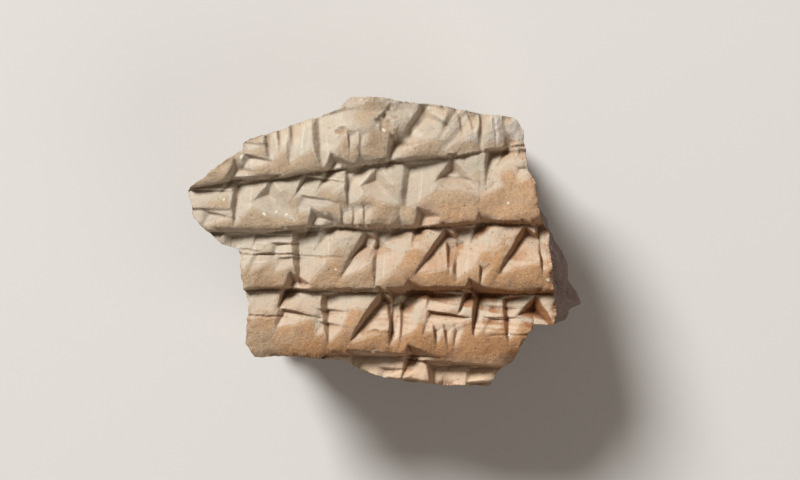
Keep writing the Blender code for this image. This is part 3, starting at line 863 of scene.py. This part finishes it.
class Value:
    """A number in a material, so that maths on it can be written as plain expressions."""

    def __init__(self, maker, socket):
        self.maker, self.socket = maker, socket

    def maths(self, operation, *others):
        """The result of a Math node."""
        sockets = [other.socket if isinstance(other, Value) else other for other in others]
        node = self.maker.node("ShaderNodeMath", {"operation": operation}, dict(enumerate(sockets)))
        return Value(self.maker, node.outputs[0])

    def __add__(self, other):
        return self.maths("ADD", self, other)

    def __sub__(self, other):
        return self.maths("SUBTRACT", self, other)

    def __rsub__(self, other):
        return self.maths("SUBTRACT", other, self)

    def __mul__(self, other):
        return self.maths("MULTIPLY", self, other)

    __radd__, __rmul__ = __add__, __mul__

    def larger(self, other):
        """The larger of this number and another."""
        return self.maths("MAXIMUM", self, other)

    def between(self, start, end):
        """0 at start and below, 1 at end and above, and a smooth rise from one to the other."""
        settings = {"interpolation_type": "SMOOTHSTEP"}
        links = {"Value": self.socket, "From Min": start, "From Max": end}
        made = self.maker.node("ShaderNodeMapRange", settings, links)
        return Value(self.maker, made.outputs["Result"])


class Maker:
    """Adds nodes to one material."""

    def __init__(self, name):
        self.material = bpy.data.materials.new(name)
        self.material.use_nodes = True
        self.tree = self.material.node_tree
        self.shader = self.tree.nodes["Principled BSDF"]

    def node(self, kind, settings, sockets):
        """A node of a kind, with its settings made first, then its sockets' values or links."""
        made = self.tree.nodes.new(kind)
        for name, setting in settings.items():
            setattr(made, name, setting)
        self.feed(made, sockets)
        return made

    def feed(self, node, sockets):
        """Sets or links a node's sockets."""
        for name, given in sockets.items():
            given = given.socket if isinstance(given, Value) else given
            if isinstance(given, bpy.types.NodeSocket):
                self.tree.links.new(given, node.inputs[name])
            else:
                node.inputs[name].default_value = given

    def stored(self, name, output="Fac"):
        """What is stored under a name at each point of the mesh."""
        made = self.node("ShaderNodeAttribute", {"attribute_name": name}, {})
        return Value(self, made.outputs[output])

    def noise(self, where, scale, detail, stretch=None):
        """Soft clouds, whose places may be stretched along each direction first."""
        if stretch:
            made = self.node("ShaderNodeVectorMath", {"operation": "MULTIPLY"}, {0: where, 1: stretch})
            where = made.outputs[0]
        sockets = {"Vector": where, "Scale": scale, "Detail": detail, "Roughness": 0.6}
        return Value(self, self.node("ShaderNodeTexNoise", {}, sockets).outputs["Fac"])

    def grains(self, where, scale):
        """Scattered cells: the distance from each one's middle, and a chance number for each."""
        cells = self.node("ShaderNodeTexVoronoi", {}, {"Vector": where, "Scale": scale})
        parts = self.node("ShaderNodeSeparateColor", {}, {0: cells.outputs["Color"]})
        return Value(self, cells.outputs["Distance"]), Value(self, parts.outputs[0])

    def mix(self, share, first, second):
        """A colour between two others."""
        made = self.node("ShaderNodeMix", {"data_type": "RGBA"}, {0: share, 6: first, 7: second})
        return made.outputs[2]


# Clay: pale and smooth where the reed pressed it, tan and sandy on the worn ridges, mauve-grey
# inside the break, cooler at the upper left and warmer at the lower right. Painted shade darkens
# its hollows, steep walls and foot, and painted light lightens two lines and its edges.
PALE_COOL = (0.445, 0.390, 0.328, 1)
PALE_WARM = (0.600, 0.462, 0.350, 1)
TAN_COOL = (0.420, 0.325, 0.230, 1)
TAN_WARM = (0.470, 0.278, 0.145, 1)
# Painted shade: the colours that darken steep walls and the ridges at the foot, cooler and warmer
PAINTED_SHADE_COOL = (0.400, 0.275, 0.170, 1)
PAINTED_SHADE_WARM = (0.300, 0.120, 0.034, 1)
# Painted shade for hollows and creases, also the colour of dark grains and crumbs
SHADE_AND_GRAIN_COOL = (0.260, 0.170, 0.100, 1)
SHADE_AND_GRAIN_WARM = (0.115, 0.034, 0.006, 1)
CORE = (0.240, 0.178, 0.162, 1)
SKIN = (0.440, 0.320, 0.215, 1)
ASH = (0.410, 0.340, 0.275, 1)
ORANGE = (0.600, 0.410, 0.285, 1)
CREAM = (0.500, 0.450, 0.365, 1)
FLAKE = (0.500, 0.460, 0.420, 1)
WHITE = (0.80, 0.76, 0.68, 1)
# Painted light: lightens the second and fifth lines, and gives worn edges their painted highlight
PAINTED_LIGHT_PEACH = (0.750, 0.560, 0.400, 1)
STAIN = (0.250, 0.150, 0.105, 1)
CHALKY = (0.480, 0.465, 0.395, 1)
PER_MM = 1000
# How the clay grows warmer across and down the face, as shares of the way for each metre
WARM_MIDDLE = 0.42
WARMER_ACROSS = 27
WARMER_DOWN = 38
DULLNESS = 0.92
SHINE = 0.25
FINE_RELIEF = 0.00006


def clay():
    """The finish of the whole fragment, from what is stored at its points and from noise. Each share
    runs from 0, which leaves a colour as it is, to 1, which gives the next one."""
    make = Maker("clay")
    here = make.node("ShaderNodeTexCoord", {}, {}).outputs["Object"]
    position = make.node("ShaderNodeSeparateXYZ", {}, {0: here})
    x, y = (Value(make, position.outputs[axis]) for axis in (0, 1))
    pressed = make.stored("pressed")
    smooth = make.stored("smooth")
    skin = make.stored("skin")
    broken = make.stored("broken")
    flaked = make.stored("flaked")
    limy = make.stored("limy")
    down = make.stored("down")
    hollow = make.stored("hollow")
    crease = make.stored("crease")
    steep = make.stored("steep")
    reed = make.stored("reed", "Vector").socket

    # Clouds from several millimetres down to a sand grain, and streaks along the reed's slide
    cloud = make.noise(here, 0.16 * PER_MM, 3)
    blotch = make.noise(here, 0.7 * PER_MM, 4)
    stain = make.noise(here, 0.42 * PER_MM, 3)
    sand = make.noise(here, 6.5 * PER_MM, 3)
    dust = make.noise(here, 13 * PER_MM, 2)
    fibre = make.noise(reed, 1.0, 2, (3.2 * PER_MM, 0.12 * PER_MM, 100))
    streak = make.noise(reed, 1.0, 2, (0.55 * PER_MM, 0.22 * PER_MM, 100))
    grain, grain_kind = make.grains(here, 7.5 * PER_MM)
    crumb, crumb_kind = make.grains(here, 3.2 * PER_MM)

    low = 0 - y
    second_line = y.between(0.0005, 0.0030) * (1 - y.between(0.0075, 0.0095))
    fifth_line = low.between(0.0106, 0.0118)
    warm = x * WARMER_ACROSS + low * WARMER_DOWN + WARM_MIDDLE + (cloud - 0.5)
    warm = warm.between(0, 1)

    # The pale clay that the reed pressed: creamier at the top of each line, more orange below it
    pale = make.mix(warm, PALE_COOL, PALE_WARM)
    tint = down * 0.9 + (streak - 0.5) * 1.6 + (cloud - 0.5) * 0.9
    pale = make.mix((0.45 - tint).between(0, 0.6) * 0.65, pale, CREAM)
    pale = make.mix((tint - 0.45).between(0, 0.6) * (0.12 + warm * 0.43), pale, ORANGE)
    dusty = (cloud * 0.5 + blotch * 0.6 - warm * 0.10).between(0.54, 0.72)
    pale = make.mix(dusty * 0.30, pale, WHITE)
    pale = make.mix((0.5 - stain).between(0.02, 0.16) * 0.5, pale, CHALKY)
    pale = make.mix((fibre - 0.5).between(0.02, 0.25) * pressed * 0.30, pale, WHITE)

    # The tan, bare ridges, with painted light that lightens them in the second line and painted shade that
    # darkens them at the foot
    tan = make.mix((warm + (blotch - 0.5)).between(0, 1), TAN_COOL, TAN_WARM)
    # Painted shade: the ridges at the foot darkened where the face bends away from the lamp
    tan = make.mix(low.between(0.0075, 0.0110) * warm * 0.35, tan, PAINTED_SHADE_WARM)
    # Painted light on the ridges of the second line
    tan = make.mix(second_line * warm * 0.25, tan, PAINTED_LIGHT_PEACH)
    ridge = (down + (blotch - 0.5) * 0.7).between(0.20, 0.50)
    bare = (1 - smooth) * (0.25 + ridge * 0.75)
    bare = (bare + (sand - 0.5) * 0.6 + (blotch - 0.5) * 0.7).between(0.10, 0.95)
    colour = make.mix(bare, pale, tan)
    stained = (stain + (sand - 0.5) * 0.25).between(0.50, 0.66) * bare * (0.15 + warm * 0.45)
    colour = make.mix(stained, colour, STAIN)

    # The core that shows inside the break, the lost flake's bed, and painted light on the fifth line where
    # the ridge above shades it
    ashen = (cloud + (blotch - 0.5) * 0.5).between(0.52, 0.62)
    core = make.mix(ashen * 0.7, CORE, ASH)
    core = make.mix((skin + (blotch - 0.5) * 0.9).between(0.2, 1.0) * 0.8, core, SKIN)
    colour = make.mix((broken + (blotch - 0.5) * 0.8 * broken).between(0.3, 0.9), colour, core)
    flake_bed = flaked.between(0.2, 0.8) * (y + (blotch - 0.5) * 0.001).between(0.0098, 0.0106)
    colour = make.mix(flake_bed, colour, FLAKE)
    # Painted light on the fifth line, which the ridge above shades
    colour = make.mix(low.between(0.0112, 0.0132) * (1 - broken) * 0.6, colour, PAINTED_LIGHT_PEACH)

    # Wear with a painted highlight on what stands out, and painted shade in the hollows and on steep
    # walls, less in those two lines
    # Edges that stand out are lighter: partly wear, partly a painted highlight, more towards the upper
    # left
    wear_and_highlight = (0 - crease).between(0.15, 1.0) * (0.25 + blotch * 0.7) * (1 - broken * 0.8)
    colour = make.mix(wear_and_highlight * (0.55 - warm * 0.2), colour, make.mix(warm, WHITE, PAINTED_LIGHT_PEACH))
    # Painted shade: hollows and creases darkened
    hollow_shade = (hollow + (blotch - 0.5) * 0.5).between(0.2, 1.1).larger(crease.between(0.2, 1.2))
    # The colour of the painted shade on steep walls, cooler or warmer
    deep = make.mix(warm, PAINTED_SHADE_COOL, PAINTED_SHADE_WARM)
    # The colour of the painted shade in hollows, also used for dark grains and crumbs
    shade_and_grain = make.mix(warm, SHADE_AND_GRAIN_COOL, SHADE_AND_GRAIN_WARM)
    # How much painted shade is kept: less in the second and fifth lines
    painted_shade_share = 1 - (second_line * 0.3).larger(fifth_line * 0.45)
    # Steep walls darkened with painted shade
    wall_shade = (steep + (blotch - 0.5) * 0.3).between(0.35, 1.0) * (0.35 + warm * 0.55) * painted_shade_share
    colour = make.mix(wall_shade, colour, deep)
    hollow_shade = hollow_shade * (0.5 + warm * 0.42) * (1 - broken * 0.35) * painted_shade_share
    colour = make.mix(hollow_shade, colour, shade_and_grain)

    # Grains of sand and crumbs of stone and lime
    dark_grain = grain_kind.between(0.80, 0.86) * (1 - grain.between(0.25, 0.55))
    light_grain = (1 - grain_kind).between(0.80, 0.86) * (1 - grain.between(0.25, 0.55))
    dark_crumb = crumb_kind.between(0.93, 0.95) * (1 - crumb.between(0.16, 0.30))
    light_crumb = (1 - crumb_kind).between(0.975, 0.985) * (1 - crumb.between(0.12, 0.26))
    rubbed = 0.45 + bare * 0.55
    darker = dark_grain * 0.35 + (0.5 - sand).between(-0.05, 0.30) * 0.4
    colour = make.mix(darker * rubbed, colour, shade_and_grain)
    lighter = light_grain * 0.20 + (sand - 0.5).between(0.0, 0.3) * 0.22
    colour = make.mix(lighter * rubbed, colour, WHITE)
    colour = make.mix(dark_crumb * 0.5, colour, shade_and_grain)
    colour = make.mix((light_crumb * 0.7).larger(limy.between(0.1, 1.0) * 0.8), colour, WHITE)

    # Relief too fine for the mesh
    lump = make.noise(here, 1.9 * PER_MM, 3)
    relief = (
        (sand + (1 - grain) * 0.35 + dust * 0.3) * (0.35 + bare * 0.65 + broken * 0.9)
        + lump * 1.6
        + blotch * broken * 6
        + fibre * 0.9 * pressed
        - dark_crumb * 0.9
        + light_crumb * 0.8
    )
    bump = make.node("ShaderNodeBump", {}, {"Height": relief, "Strength": 1.0, "Distance": FINE_RELIEF})
    make.feed(make.shader, {"Base Color": colour, "Normal": bump.outputs["Normal"]})
    make.feed(make.shader, {"Roughness": DULLNESS, "Specular IOR Level": SHINE})
    return make.material


clay_mesh.materials.append(clay())
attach(fragment, "root")
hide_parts("tablet_fragment")

# The floor: a plain pale table top.
FLOOR_REACH = 1.5
FLOOR_COLOUR = (0.665, 0.67, 0.685, 1)
FLOOR_DULLNESS = 0.9
bpy.ops.mesh.primitive_plane_add(size=2 * FLOOR_REACH, location=(0, 0, 0))
floor = bpy.context.object
floor.name = "floor"
floor_finish = Maker("floor")
floor_finish.feed(floor_finish.shader, {"Base Color": FLOOR_COLOUR, "Roughness": FLOOR_DULLNESS})
floor.data.materials.append(floor_finish.material)

# Light: a soft lamp from the upper left, low enough to rake the strokes, a weak broad one from the
# lower right that opens the shadows, and faint warm light from all round.
LAMPS = {
    "key": dict(toward=(-0.50, 0.62, 0.60), distance=1.5, size=0.55, power=33, colour=(1.0, 0.96, 0.90)),
    "fill": dict(toward=(0.70, -0.60, 0.62), distance=1.5, size=1.2, power=4.5, colour=(1.0, 0.93, 0.84)),
}
AIR = (0.92, 0.76, 0.60, 1)
AIR_STRENGTH = 0.17

for name, lamp in LAMPS.items():
    light = bpy.data.lights.new(name, "AREA")
    light.shape = "DISK"
    light.size = lamp["size"]
    light.energy = lamp["power"]
    light.color = lamp["colour"]
    holder = bpy.data.objects.new(name, light)
    bpy.context.collection.objects.link(holder)
    toward = np.array(lamp["toward"])
    holder.location = toward / np.linalg.norm(toward) * lamp["distance"]
    holder.rotation_euler = holder.location.to_track_quat("Z", "Y").to_euler()

world = bpy.data.worlds.new("air")
world.use_nodes = True
air = world.node_tree.nodes["Background"].inputs
air["Color"].default_value = AIR
air["Strength"].default_value = AIR_STRENGTH
bpy.context.scene.world = world
bpy.context.scene.view_settings.view_transform = "Standard"

# Camera: straight above the face, as the photograph was taken, with a long lens.
PICTURE_WIDTH = 0.0812
LENS = 100
SENSOR = 36
MIDDLE = (0.00122, 0.00019)
FACE_LEVEL = 0.016
camera_data = bpy.data.cameras.new("camera")
camera_data.lens = LENS
camera_data.sensor_width = SENSOR
camera_data.clip_start = 0.01
camera_data.clip_end = 10
camera = bpy.data.objects.new("camera", camera_data)
bpy.context.collection.objects.link(camera)
camera.location = (*MIDDLE, FACE_LEVEL + PICTURE_WIDTH * LENS / SENSOR)
bpy.context.scene.camera = camera
